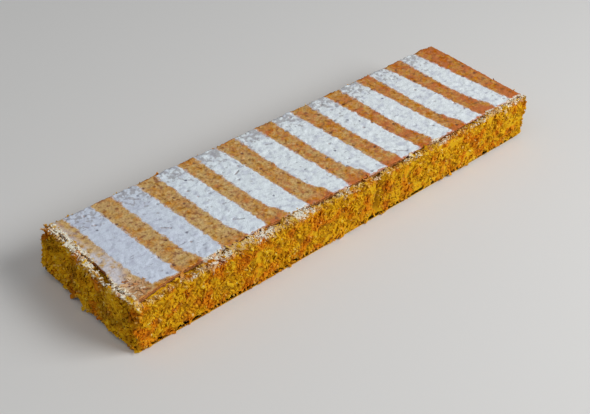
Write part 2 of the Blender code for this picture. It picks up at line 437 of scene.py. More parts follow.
def make_sugar_dust():
    """Icing sugar caught on what faces up: how much of the surface it covers."""
    group = shade_group("caught sugar", [("Amount", "NodeSocketFloat", 1.0)], [("Share", "NodeSocketFloat")])
    add = node_adder(group)
    given = add("NodeGroupInput").outputs["Amount"]
    place = add("ShaderNodeTexCoord").outputs["Object"]
    facing = add("ShaderNodeSeparateXYZ", inputs={0: add("ShaderNodeNewGeometry").outputs["Normal"]}).outputs["Z"]
    up = spread(add, facing, 0.0, 0.55)
    fallen = add("ShaderNodeAttribute", {"attribute_name": "fallen_sugar"}).outputs["Fac"]
    patches = add("ShaderNodeTexNoise", inputs={"Vector": place, "Scale": 260.0, "Detail": 3.0}).outputs["Fac"]
    patchy = spread(add, patches, 0.36, 0.56)
    share = times(add, times(add, fallen, up), times(add, patchy, given))
    add("NodeGroupOutput", inputs={"Share": share})
    return group


sugar_dust = make_sugar_dust()


def sugared(add, colour, amount):
    """The colour with caught icing sugar over it."""
    dust = add("ShaderNodeGroup", {"node_tree": sugar_dust}, {"Amount": amount})
    return mix(add, dust.outputs["Share"], colour, (*SUGAR_WHITE, 1.0))


def make_spots():
    """Round spots of many sizes, scattered one to a cell: 1 inside a spot and 0 outside."""
    group = shade_group("spots", [
        ("Cells", "NodeSocketFloat", 240.0), ("Bare", "NodeSocketFloat", 0.5), ("Size", "NodeSocketFloat", 0.35),
    ], [("Mask", "NodeSocketFloat")])
    add = node_adder(group)
    given = add("NodeGroupInput").outputs
    place = add("ShaderNodeTexCoord").outputs["Object"]
    wobble = add("ShaderNodeTexNoise", inputs={"Vector": place, "Scale": 800.0, "Detail": 2.0}).outputs["Color"]
    shift = add("ShaderNodeVectorMath", {"operation": "SCALE"}, {0: wobble, "Scale": 1.1 * MM}).outputs[0]
    warped = add("ShaderNodeVectorMath", {"operation": "ADD"}, {0: place, 1: shift}).outputs[0]
    cells = add("ShaderNodeTexVoronoi", inputs={"Vector": warped, "Scale": given["Cells"]})
    draw = add("ShaderNodeSeparateColor", inputs={0: cells.outputs["Color"]}).outputs["Red"]
    share = spread(add, draw, given["Bare"], 1.0)
    left = add("ShaderNodeMath", {"operation": "SUBTRACT"}, {0: times(add, share, given["Size"]), 1: cells.outputs["Distance"]})
    mask = add("ShaderNodeMath", {"operation": "MULTIPLY", "use_clamp": True}, {0: left.outputs[0], 1: 9.0})
    add("NodeGroupOutput", inputs={"Mask": mask.outputs[0]})
    return group


spots_group = make_spots()


def spotted(add, colour, spot_colour, strength, cells, bare, size):
    """The colour with spots of another colour over it."""
    spots = add("ShaderNodeGroup", {"node_tree": spots_group}, {"Cells": cells, "Bare": bare, "Size": size})
    return mix(add, times(add, spots.outputs["Mask"], strength), colour, (*spot_colour, 1.0))


# The coat's colours, from the darkest baked crumb to the palest flake.
GOLD_TONES = [
    (0.00, paint(176, 118, 4)), (0.22, paint(214, 154, 6)), (0.50, paint(230, 174, 10)),
    (0.80, paint(238, 190, 26)), (0.94, paint(240, 202, 70)), (1.00, paint(244, 222, 140)),
]
AMBER_TONES = [
    (0.00, paint(160, 84, 2)), (0.25, paint(212, 122, 4)), (0.55, paint(230, 144, 6)),
    (0.85, paint(236, 160, 16)), (0.95, paint(238, 178, 60)), (1.00, paint(244, 204, 130)),
]


DULL_TONE = paint(124, 74, 4)


def make_baked_tones():
    """A crumb's colour: golden, or amber where the coat is browner, and alike in one clump."""
    group = shade_group("baked tones", [("Value", "NodeSocketFloat", 0.5)], [("Color", "NodeSocketColor")])
    add = node_adder(group)
    value = add("NodeGroupInput").outputs["Value"]
    amber = add("ShaderNodeAttribute", {"attribute_name": "amber"}).outputs["Fac"]
    place = add("ShaderNodeTexCoord").outputs["Object"]
    clump = add("ShaderNodeTexNoise", inputs={"Vector": place, "Scale": 230.0, "Detail": 2.0}).outputs["Fac"]
    alike = add("ShaderNodeMath", {"operation": "MULTIPLY_ADD"}, {0: clump, 1: 1.7, 2: -0.62}).outputs[0]
    own = times(add, value, 0.45)
    tone = add("ShaderNodeMath", {"operation": "ADD", "use_clamp": True}, {0: own, 1: alike}).outputs[0]
    baked = mix(add, amber, ramp(add, tone, GOLD_TONES), ramp(add, tone, AMBER_TONES))
    dull = add("ShaderNodeAttribute", {"attribute_name": "dull"}).outputs["Fac"]
    add("NodeGroupOutput", inputs={"Color": mix(add, times(add, dull, 0.42), baked, (*DULL_TONE, 1.0))})
    return group


baked_group = make_baked_tones()


def baked_tones(add, value):
    return add("ShaderNodeGroup", {"node_tree": baked_group}, {"Value": value}).outputs["Color"]


def make_block_material():
    material, add, shader = new_material("crumbs sunk in custard", 0.78, 0.15)
    place = add("ShaderNodeTexCoord").outputs["Object"]
    wobble = add("ShaderNodeTexNoise", inputs={"Vector": place, "Scale": 700.0, "Detail": 2.0}).outputs["Color"]
    shift = add("ShaderNodeVectorMath", {"operation": "SCALE"}, {0: wobble, "Scale": 1.4 * MM}).outputs[0]
    warped = add("ShaderNodeVectorMath", {"operation": "ADD"}, {0: place, 1: shift}).outputs[0]
    cells = add("ShaderNodeTexVoronoi", inputs={"Vector": warped, "Scale": 1 / (2.1 * MM)}).outputs["Color"]
    pick = add("ShaderNodeSeparateColor", inputs={0: cells}).outputs["Red"]
    custard = add("ShaderNodeAttribute", {"attribute_name": "custard"}).outputs["Fac"]
    colour = mix(add, times(add, custard, 0.8), baked_tones(add, pick), (*paint(232, 182, 16), 1.0))
    # Painted shade: the gaps between the lumps and the crease are darkened, as shade falls in them.
    gap = add("ShaderNodeAttribute", {"attribute_name": "gap"}).outputs["Fac"]
    colour = mix(add, times(add, gap, 0.8), colour, (*paint(136, 80, 2), 1.0))
    # Painted shadow: the foot is made near black for the shade under the block.
    foot = add("ShaderNodeAttribute", {"attribute_name": "foot"}).outputs["Fac"]
    colour = mix(add, foot, colour, (*paint(60, 35, 9), 1.0))
    join(add, sugared(add, colour, 1.0), shader.inputs["Base Color"])
    grain = clouds(add, 1100.0, 3.0)
    bump = add("ShaderNodeBump", inputs={"Strength": 0.7, "Distance": 0.5 * MM, "Height": grain})
    join(add, bump.outputs["Normal"], shader.inputs["Normal"])
    return material


def make_block():
    bm = bmesh.new()
    station = loft(bm, block_rings())
    facings = [outward for _, outward in outline(1.0)]
    names = ("custard", "gap", "coat", "flaky", "pale", "rim", "amber", "dull", "foot", "fallen_sugar")
    layers = (bm.verts.layers.float.new(name) for name in names)
    custard, gap, coat, flaky, pale, rim, amber, dull, foot, sugar = layers
    bm.normal_update()
    for vert in bm.verts:
        place = vert.co.copy()
        if place.z < 0.01 * MM or abs(place.z - shelf_height) < 0.01 * MM:
            continue
        smooth = custard_share(place)
        clump = noise.noise(place / CLUMP) * (1 - 0.4 * smooth)
        lump = lump_height(place, LUMP) * (1 - 0.8 * smooth)
        grit = noise.noise(place / GRIT) * (1 - 0.7 * smooth)
        low = place.z + 1.0 * MM * noise.noise(place / (7 * MM)) + FOOT_SPILL * bell((place - foot_spill).length, 9 * MM)
        # foot marks where no crumbs sit and where a painted shadow darkens the block.
        vert[foot] = smooth_step(3.4 * MM, 2.6 * MM, low)
        outward = facings[vert[station]]
        thick = coat_share(outward)
        high = smooth_step(SIDE_TOP - 1.5 * MM, SIDE_TOP + 0.5 * MM, place.z)
        covered = (1 - vert[foot]) * (1 - 0.85 * high * (1 - thick) / (1 - THIN_SHARE))
        vert[custard] = smooth
        crease = crease_share(place)
        # gap marks where painted shade darkens the block: between the lumps and in the crease.
        vert[gap] = max((1 - smooth) * smooth_step(0.45, -0.35, 0.5 * lump + 0.6 * clump), 1.2 * crease)
        vert[coat] = covered * (1 - crease) ** 2 * (1 - 0.85 * smooth) * (0.4 + 0.6 * smooth_step(-0.45, 0.1, clump))
        vert[flaky] = covered * (1 - crease) ** 2 * smooth_step(-0.35, 0.35, noise.noise(place / (12 * MM)) - 1.2 * smooth)
        fringe = smooth_step(5.0 * MM, 3.0 * MM, low) * (1 - vert[foot])
        patch = smooth_step(0.15, 0.45, noise.noise(place / (9 * MM) + Vector((3, 1, 7))))
        at_near_end = smooth_step(0.3, 0.8, -outward.x)
        vert[pale] = covered * max(0.8 * fringe, 0.6 * patch, 0.05 + 0.3 * at_near_end)
        at_rim = smooth_step(SIDE_TOP, SIDE_TOP + 1.0 * MM, place.z)
        bared = bell(place.x - BARE_CENTRE, BARE_SPREAD) * smooth_step(0.3, 0.8, -outward.y)
        vert[rim] = covered * (1 - 0.1 * bared) * at_rim
        vert[coat] *= 1 - 0.8 * bared * at_rim
        vert[flaky] *= 1 - bared * at_rim
        vert[amber] = smooth_step(-0.12, 0.42, noise.noise(place / (10 * MM) + Vector((9, 4, 2))))
        vert[dull] = at_near_end * smooth_step(-0.05, 0.4, noise.noise(place / (12 * MM) + Vector((2, 8, 5))))
        vert[sugar] = fallen_sugar(place)
        rough = thick * (1 + 0.5 * at_near_end)
        vert.co += vert.normal * (1.1 * clump + 0.8 * lump + 0.2 * grit - 0.4 - 2.2 * crease) * rough * MM
        if place.z > SIDE_TOP:
            heap = rim_heap(place, outward) - BARE_DROP * bared
            vert.co.z += heap * smooth_step(SIDE_TOP, SIDE_TOP + 2.0 * MM, place.z)
            vert.co.z = eased(vert.co.z, sheet_high.z - 2 * HEAP_EASE, HEAP_EASE)
        vert.co.x = max(vert.co.x, block_low.x)
        vert.co.y = max(vert.co.y, block_low.y)
    return finished("custard_block", bm, make_block_material())


block = make_block()
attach(block, "root")
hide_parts("crumb_coated_block")


# ---------------------------------------------------------------------------------------------
# The crumbs. Offcuts of baked puff pastry are crumbled and pressed into the custard on all four
# sides and round the rim: rounded crumbs of many sizes, small grains between them, and thin
# shards and flakes of single pastry layers that stand out at all angles.
# ---------------------------------------------------------------------------------------------
def crumb(bm, number):
    """A knobbly, flattish crumb about one unit long."""
    bmesh.ops.create_uvsphere(bm, u_segments=6, v_segments=4, radius=0.5)
    for vert in bm.verts:
        vert.co *= 1 + 0.7 * noise.noise(vert.co * 2.6 + Vector((number * 5.3, 1.7, 0.4)))
    bmesh.ops.scale(bm, vec=(1.0, 0.40 + 0.09 * number, 0.28 + 0.08 * number), verts=bm.verts)


def grain(bm, number):
    """A small angular grain about one unit across."""
    bmesh.ops.create_cone(bm, cap_ends=True, segments=4, radius1=0.5, radius2=0.28, depth=0.6)
    bmesh.ops.triangulate(bm, faces=bm.faces)
    for vert in bm.verts:
        vert.co += 0.28 * noise.noise_vector(vert.co * 3.1 + Vector((number * 7.9, 0.3, 2.6)))


def shard(bm, number):
    """A torn, curled piece of one pastry layer, about one unit long and thin."""
    bmesh.ops.create_grid(bm, x_segments=4, y_segments=3, size=0.5)
    bmesh.ops.scale(bm, vec=(1.0, 0.30 + 0.08 * number, 1.0), verts=bm.verts)
    for vert in bm.verts:
        vert.co += 0.26 * noise.noise_vector(vert.co * 2.9 + Vector((number * 4.1, 3.3, 0.8)))
        vert.co.z += 0.5 * vert.co.x * vert.co.x
    skin = bmesh.ops.extrude_face_region(bm, geom=list(bm.faces))["geom"]
    lifted = [part for part in skin if isinstance(part, bmesh.types.BMVert)]
    bmesh.ops.translate(bm, vec=(0.0, 0.0, 0.11), verts=lifted)
    bmesh.ops.recalc_face_normals(bm, faces=bm.faces)


# The palest crumbs, from inside the pastry, and the skin's own flakes.
CREAM_TONES = [
    (0.00, paint(222, 168, 56)), (0.35, paint(238, 196, 84)), (0.70, paint(248, 220, 128)),
    (1.00, paint(246, 200, 112)),
]
FLAKE_TONES = [
    (0.00, paint(186, 122, 72)), (0.35, paint(208, 150, 98)), (0.70, paint(226, 184, 136)),
    (1.00, paint(240, 216, 184)),
]
# Crumbs are pressed flatter within this depth of the block's own limits, and none reaches past them.
PRESSED_DEPTH = 1.0 * MM
limit_high = Vector((block_high.x, block_high.y, sheet_high.z))
limit_middle, limit_half = (block_low + limit_high) / 2, (limit_high - block_low) / 2


def shape_set(name, shape, count):
    """A collection of the shapes of one kind of crumb, which a scatter picks from."""
    shapes = bpy.data.collections.new(name)
    for number in range(count):
        bm = bmesh.new()
        shape(bm, number)
        mesh = settled(f"{name}_{number}", bm)
        shapes.objects.link(bpy.data.objects.new(mesh.name, mesh))
    return shapes


def squeezed(add):
    """Each point's position, with what would reach past the block's limits pressed back inside them."""

    def vector(operation, *inputs):
        return add("ShaderNodeVectorMath", {"operation": operation}, dict(enumerate(inputs))).outputs[0]

    depth = (PRESSED_DEPTH,) * 3
    away = vector("SUBTRACT", add("GeometryNodeInputPosition").outputs[0], tuple(limit_middle))
    reach, free = vector("ABSOLUTE", away), tuple(limit_half - Vector(depth))
    past = vector("MAXIMUM", vector("SUBTRACT", reach, free), (0.0, 0.0, 0.0))
    pressed = vector("DIVIDE", vector("MULTIPLY", past, depth), vector("ADD", past, depth))
    kept = vector("ADD", vector("MINIMUM", reach, free), pressed)
    return vector("ADD", vector("MULTIPLY", kept, vector("SIGN", away)), tuple(limit_middle))


def scattered(name, host, shapes, field, spacing, sizes, tilt, sink, seed, material):
    """Crumbs set all over a host piece, as one plain mesh.

    The host's attribute called field thins them out; spacing is the least distance between two;
    sizes are the least and greatest scale; tilt is how far one may lean from lying flat; sink is
    how far each is pressed in below the surface.
    """
    tree = bpy.data.node_groups.new(name, "GeometryNodeTree")
    for in_out in ("INPUT", "OUTPUT"):
        tree.interface.new_socket("Geometry", in_out=in_out, socket_type="NodeSocketGeometry")
    add = node_adder(tree)
    thinned = add("GeometryNodeInputNamedAttribute", {"data_type": "FLOAT"}, {"Name": field})
    spots = add("GeometryNodeDistributePointsOnFaces", {"distribute_method": "POISSON"}, {
        "Mesh": add("NodeGroupInput").outputs[0], "Distance Min": spacing,
        "Density Max": 3.0 / spacing ** 2, "Density Factor": thinned.outputs["Attribute"], "Seed": seed,
    })
    pressed = add("ShaderNodeVectorMath", {"operation": "SCALE"}, {0: spots.outputs["Normal"], "Scale": -sink})
    lean = add("FunctionNodeRandomValue", {"data_type": "FLOAT_VECTOR"}, {
        0: (-tilt, -tilt, -math.pi), 1: (tilt, tilt, math.pi), "Seed": seed + 1,
    })
    turned = add("FunctionNodeRotateRotation", {"rotation_space": "LOCAL"}, {
        "Rotation": spots.outputs["Rotation"], "Rotate By": lean.outputs[0],
    })
    picked = add("FunctionNodeRandomValue", {"data_type": "INT"}, {4: 0, 5: len(shapes.objects) - 1, "Seed": seed + 2})
    draw = add("FunctionNodeRandomValue", {"data_type": "FLOAT"}, {2: 0.0, 3: 1.0, "Seed": seed + 3})
    skewed = add("ShaderNodeMath", {"operation": "POWER"}, {0: draw.outputs[1], 1: 1.8})
    size = add("ShaderNodeMapRange", inputs={0: skewed.outputs[0], 3: sizes[0], 4: sizes[1]})
    placed = add("GeometryNodeSetPosition", inputs={
        "Geometry": spots.outputs["Points"], "Offset": pressed.outputs[0],
    })
    source = add("GeometryNodeCollectionInfo", inputs={
        "Collection": shapes, "Separate Children": True, "Reset Children": True,
    })
    crumbs = add("GeometryNodeInstanceOnPoints", inputs={
        "Points": placed.outputs[0], "Instance": source.outputs[0], "Pick Instance": True,
        "Instance Index": picked.outputs[2], "Rotation": turned.outputs[0], "Scale": size.outputs[0],
    })
    tint = add("FunctionNodeRandomValue", {"data_type": "FLOAT"}, {2: 0.0, 3: 1.0, "Seed": seed + 4})
    tinted = add("GeometryNodeStoreNamedAttribute", {"data_type": "FLOAT", "domain": "INSTANCE"}, {
        "Geometry": crumbs.outputs[0], "Name": "tint", "Value": tint.outputs[1],
    })
    real = add("GeometryNodeRealizeInstances", inputs={"Geometry": tinted.outputs[0]})
    kept = add("GeometryNodeSetPosition", inputs={"Geometry": real.outputs[0], "Position": squeezed(add)})
    add("NodeGroupOutput", inputs={0: kept.outputs[0]})

    piece = bpy.data.objects.new(name, host.data)
    bpy.context.scene.collection.objects.link(piece)
    piece.modifiers.new("scatter", "NODES").node_group = tree
    graph = bpy.context.evaluated_depsgraph_get()
    mesh = bpy.data.meshes.new_from_object(piece.evaluated_get(graph), depsgraph=graph)
    piece.modifiers.clear()
    piece.data = mesh
    mesh.name = name
    mesh.shade_smooth()
    mesh.set_sharp_from_angle(angle=math.radians(50))
    mesh.materials.clear()
    mesh.materials.append(material)
    bpy.data.node_groups.remove(tree)
    return piece


def crumb_material(name, paleness, sugar, pale_tones=CREAM_TONES):
    """Baked pastry crumbs: each has its own tone, and is uneven within itself."""
    material, add, shader = new_material(name, 0.72, 0.12)
    place = add("ShaderNodeTexCoord").outputs["Object"]
    tint = add("ShaderNodeAttribute", {"attribute_name": "tint"}).outputs["Fac"]
    speckle = clouds(add, 900.0, 2.0)
    uneven = add("ShaderNodeMath", {"operation": "MULTIPLY_ADD"}, {0: speckle, 1: 0.3, 2: -0.15}).outputs[0]
    value = add("ShaderNodeMath", {"operation": "ADD", "use_clamp": True}, {0: tint, 1: uneven}).outputs[0]
    colour = baked_tones(add, value)
    if paleness:
        colour = mix(add, paleness, colour, ramp(add, value, pale_tones))
    join(add, sugared(add, colour, sugar), shader.inputs["Base Color"])
    bump = add("ShaderNodeBump", inputs={"Strength": 0.8, "Distance": 0.35 * MM, "Height": speckle})
    join(add, bump.outputs["Normal"], shader.inputs["Normal"])
    return material


crumb_shapes = shape_set("crumb_shapes", crumb, 4)
grain_shapes = shape_set("grain_shapes", grain, 4)
shard_shapes = shape_set("shard_shapes", shard, 4)
golden_crumbs = scattered(
    "golden_crumbs", block, crumb_shapes, "coat", 2.1 * MM, (2.6 * MM, 6.0 * MM), 1.2, -0.1 * MM, 11,
    crumb_material("golden crumbs", 0.0, 1.0))
fine_crumbs = scattered(
    "fine_crumbs", block, grain_shapes, "coat", 1.9 * MM, (1.0 * MM, 2.3 * MM), math.pi, -0.25 * MM, 23,
    crumb_material("fine crumbs", 0.0, 1.0))
pastry_shards = scattered(
    "pastry_shards", block, shard_shapes, "flaky", 2.3 * MM, (3.4 * MM, 8.0 * MM), 0.9, -0.3 * MM, 37,
    crumb_material("pastry shards", 0.0, 1.0))
pale_flakes = scattered(
    "pale_flakes", block, crumb_shapes, "pale", 2.4 * MM, (2.0 * MM, 4.6 * MM), 1.2, -0.3 * MM, 53,
    crumb_material("pale flakes", 0.5, 1.0))
rim_crumbs = scattered(
    "rim_crumbs", block, crumb_shapes, "rim", 1.5 * MM, (1.7 * MM, 3.8 * MM), math.pi, -0.6 * MM, 71,
    crumb_material("rim crumbs", 0.3, 2.4))

for piece in (golden_crumbs, fine_crumbs, pastry_shards, pale_flakes, rim_crumbs):
    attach(piece, "root")


# ---------------------------------------------------------------------------------------------
# The top pastry sheet. Puff pastry is docked with rows of holes so that it stays flat, baked
# brown and laid on top of the custard. Its skin is blistered, its cut edge shows thin layers,
# and it is chipped all round and torn at the near front corner.
# ---------------------------------------------------------------------------------------------
SHEET_STEP = 0.8 * MM
SHEET_DROP = 0.80 * MM
# The highest blisters flatten out over this much height. The sugar on top is this thick.
SHEET_EASE = 0.9 * MM
SUGAR_THICKNESS = 0.16 * MM
CHIP_DEPTH, CHIP_SPACING, CHIP_REACH = 1.3 * MM, 11.0 * MM, 6.0 * MM
# How much deeper the chips are along the back.
BACK_CHIPS = 1.5
HOLE_ALONG, HOLE_ACROSS, HOLE_RADIUS, HOLE_DEPTH = 12.5 * MM, 11.0 * MM, 1.7 * MM, 1.1 * MM
TORN_CENTRE, TORN_SPREAD = Vector((-198.0 * MM, -36.0 * MM, 0.0)), 11.5 * MM
# Short slits where the skin has cracked: (middle along, middle across, half length, angle).
SLITS = (
    (-139.5 * MM, -1.0 * MM, 3.6 * MM, -0.72),
    (-93.5 * MM, -25.0 * MM, 4.0 * MM, -0.65),
    (-56.5 * MM, 17.0 * MM, 2.6 * MM, 0.30),
    (63.5 * MM, -39.5 * MM, 5.2 * MM, -0.75),
)
SLIT_WIDTH = 0.8 * MM
# Where crumbs lie over the sheet's front edge: (place along, spread).
LITTER = ((-131 * MM, 9 * MM), (-52 * MM, 10 * MM), (96 * MM, 5 * MM), (163 * MM, 8 * MM), (196 * MM, 9 * MM))
# The cut edge from the top down: how far below the skin and how far set back each row is.
LAYER_ROWS = (
    (0.40 * MM, 0.05 * MM), (0.80 * MM, 0.15 * MM), (1.05 * MM, 0.80 * MM), (1.35 * MM, 0.15 * MM),
    (1.90 * MM, 0.30 * MM), (2.15 * MM, 1.00 * MM), (2.50 * MM, 0.20 * MM), (3.10 * MM, 0.40 * MM),
    (3.40 * MM, 1.00 * MM),
)


def inward(plan):
    """Direction in from the sheet's edge, for a place in the straight plan."""
    direction = Vector((0.0, 0.0, 0.0))
    for axis in (0, 1):
        if plan[axis] < plate_low[axis] + 0.3 * SHEET_STEP:
            direction[axis] = 1.0
        if plan[axis] > plate_high[axis] - 0.3 * SHEET_STEP:
            direction[axis] = -1.0
    return direction


def chipped(plan):
    """A place of the straight plan drawn in where the sheet's edge is chipped."""
    shift = Vector((0.0, 0.0, 0.0))
    for axis in (0, 1):
        for limit, sign in ((plate_low[axis], 1), (plate_high[axis], -1)):
            fade = 1 - abs(plan[axis] - limit) / CHIP_REACH
            if fade > 0:
                edge = plan.copy()
                edge[axis] = limit
                chip = CHIP_DEPTH * min(max(0.5 + 0.5 * noise.noise(edge / CHIP_SPACING), 0), 1)
                chip += 0.45 * MM * noise.noise(edge / (2.3 * MM)) + 0.3 * MM
                if axis == 1 and sign < 0:
                    chip *= BACK_CHIPS
                shift[axis] += sign * chip * fade * fade
    return plan + shift


def hole_share(place):
    """1 in the middle of a docking hole, falling to 0 round it."""
    column, row = round(place.x / HOLE_ALONG), round(place.y / HOLE_ACROSS)
    stray = noise.cell_vector((column + 0.5, row + 0.5, 0.5)) - Vector((0.5, 0.5, 0.5))
    middle = Vector(((column + 0.35 * stray.x) * HOLE_ALONG, (row + 0.35 * stray.y) * HOLE_ACROSS, 0.0))
    flat = Vector((place.x, place.y, 0.0))
    return (1 - smooth_step(0.3, 1.0, (flat - middle).length / HOLE_RADIUS)) * (0.12 + 0.88 * abs(2 * stray.z) ** 3)


def slit_share(place):
    """1 in the middle of a slit, falling to 0 at its sides."""
    deepest = 0.0
    for along, across, half, angle in SLITS:
        away = Vector((place.x - along, place.y - across))
        line = Vector((math.cos(angle), math.sin(angle)))
        past = max(abs(away.dot(line)) - half, 0.0)
        beside = abs(away.x * line.y - away.y * line.x) + 0.4 * MM * noise.noise(place / (1.5 * MM))
        deepest = max(deepest, 1 - smooth_step(0.3, 1.0, math.hypot(past, beside) / SLIT_WIDTH))
    return deepest


def torn_share(place):
    """1 where the skin has broken off the near front corner in flakes, 0 elsewhere."""
    away = Vector((place.x, place.y, 0.0)) - TORN_CENTRE
    ragged = noise.noise(place / (5.5 * MM)) + 0.4 * noise.noise(place / (2.0 * MM))
    return smooth_step(0.15, 0.22, 1.15 * bell(away.length, TORN_SPREAD) + 0.55 * ragged - 0.32)


def blister(place):
    """1 on top of a blister of the baked skin, 0 between blisters."""
    return smooth_step(0.02, 0.5, noise.noise(place / (5.5 * MM)))


def skin_relief(place):
    """Height of the baked skin over the sheet's own gentle buckle."""
    swell = noise.noise(place / (16.0 * MM))
    ripple = noise.noise(place / (2.7 * MM))
    fine = noise.noise(place / (1.4 * MM))
    return (0.24 * swell + 0.42 * blister(place) + 0.26 * ripple + 0.15 * fine) * MM


def sugar_haze(place):
    """How thickly stray sugar lies on the pastry outside the stripes: most along the near edge."""
    ragged = 3 * MM * noise.noise(place / (7 * MM))
    along_edge = smooth_step(-190 * MM, -203 * MM, place.x + ragged) * smooth_step(-36 * MM, -26 * MM, place.y)
    by_split = bell((Vector((place.x, place.y, 0.0)) - Vector((-199 * MM, -6 * MM, 0.0))).length, 13 * MM)
    return min(0.08 + 1.1 * along_edge + 1.0 * by_split, 1.0)


def litter_share(place):
    """1 where crumbs lie over the sheet's edge: along the near end, and at some places on the front."""
    ragged = 1.2 * MM * noise.noise(place / (5 * MM))
    split = bell(place.y - SPLIT_CENTRE, 1.2 * SPLIT_SPREAD)
    bowed = BOW * bell(place.y - BOW_CENTRE, BOW_SPREAD)
    near = smooth_step(plate_low.x + 4.2 * MM, plate_low.x + 2.0 * MM, place.x + bowed + ragged) * (1 - split)
    behind = place.y - plate_low.y - step_back(place.x) + ragged
    heaps = sum(bell(place.x - middle, spread_out) for middle, spread_out in LITTER)
    return max(near * smooth_step(-44 * MM, -38 * MM, place.y), heaps * smooth_step(3.0 * MM, 1.0 * MM, behind))


def sugar_depth(place):
    """How far a place lies inside the sieved sugar, below 0 where the pastry is bare."""
    wobble = 1.3 * MM * noise.noise(place / (5.0 * MM)) + 1.2 * MM * noise.noise(place / (2.4 * MM))
    front = plate_low.y + step_back(place.x)
    stop = place.y - front - 1.8 * MM - 4 * MM * smooth_step(-165 * MM, -180 * MM, place.x)
    stop += 1.3 * MM * noise.noise(place / (3.5 * MM))
    return min(stripe_depth(place) + wobble, stop)


def sheet_skin():
    """The sheet's top surface as a fine grid, with what each place is like stored on it."""
    solid = surface_of("top_pastry_sheet")
    size = plate_high - plate_low
    bm = bmesh.new()
    columns, rows = round(size.x / SHEET_STEP), round(size.y / SHEET_STEP)
    bmesh.ops.create_grid(bm, x_segments=columns, y_segments=rows, size=0.5)
    bmesh.ops.scale(bm, vec=(size.x, size.y, 1.0), verts=bm.verts)
    bmesh.ops.translate(bm, vec=(plate_low + plate_high) / 2, verts=bm.verts)
    sugar = bm.verts.layers.float.new("sugar")
    hole = bm.verts.layers.float.new("hole")
    torn = bm.verts.layers.float.new("torn")
    toasted = bm.verts.layers.float.new("toasted")
    scorched = bm.verts.layers.float.new("scorched")
    haze = bm.verts.layers.float.new("haze")
    littered = bm.verts.layers.float.new("littered")
    fallen = bm.verts.layers.float.new("fallen_sugar")
    inner = bm.verts.layers.float_vector.new("inner")
    for vert in bm.verts:
        vert[inner] = inward(vert.co)
        plan = bent(chipped(vert.co), 0.0)
        near = smooth_step(0, BOW_RUN, BOW_START - vert.co.x)
        plan.x += SPLIT_DEPTH * near * bell(vert.co.y - SPLIT_CENTRE, SPLIT_SPREAD)
        probe = plan + vert[inner] * 0.5 * MM + Vector((0, 0, sheet_high.z))
        ground = solid.find_nearest(probe)[0].z
        edge = min(vert.co.y - plate_low.y, plate_high.x - vert.co.x, plate_high.y - vert.co.y)
        vert[sugar] = sugar_depth(plan) / MM
        vert[hole] = max(hole_share(plan), slit_share(plan))
        vert[torn] = torn_share(plan)
        vert[haze] = sugar_haze(plan)
        vert[toasted] = (plan.x - block_low.x) / (block_high.x - block_low.x)
        front = smooth_step(10 * MM, 2 * MM, vert.co.y - plate_low.y)
        vert[toasted] += 0.35 * front
        vert[scorched] = front * smooth_step(-60 * MM, 0, plan.x) * smooth_step(-0.4, 0.1, noise.noise(plan / (6 * MM)))
        vert[littered] = litter_share(plan)
        vert[fallen] = 1.4 * vert[littered]
        vert[toasted] += 0.35 * smooth_step(4 * MM, 0, edge) + 0.25 * blister(plan) - 0.1
        height = ground - SHEET_DROP + skin_relief(plan) - HOLE_DEPTH * vert[hole] - 0.55 * MM * vert[torn]
        height -= 0.3 * MM * smooth_step(1.6 * MM, 0, edge)
        vert.co = (plan.x, plan.y, eased(height, sheet_high.z - SHEET_EASE - SUGAR_THICKNESS, SHEET_EASE))
    return bm


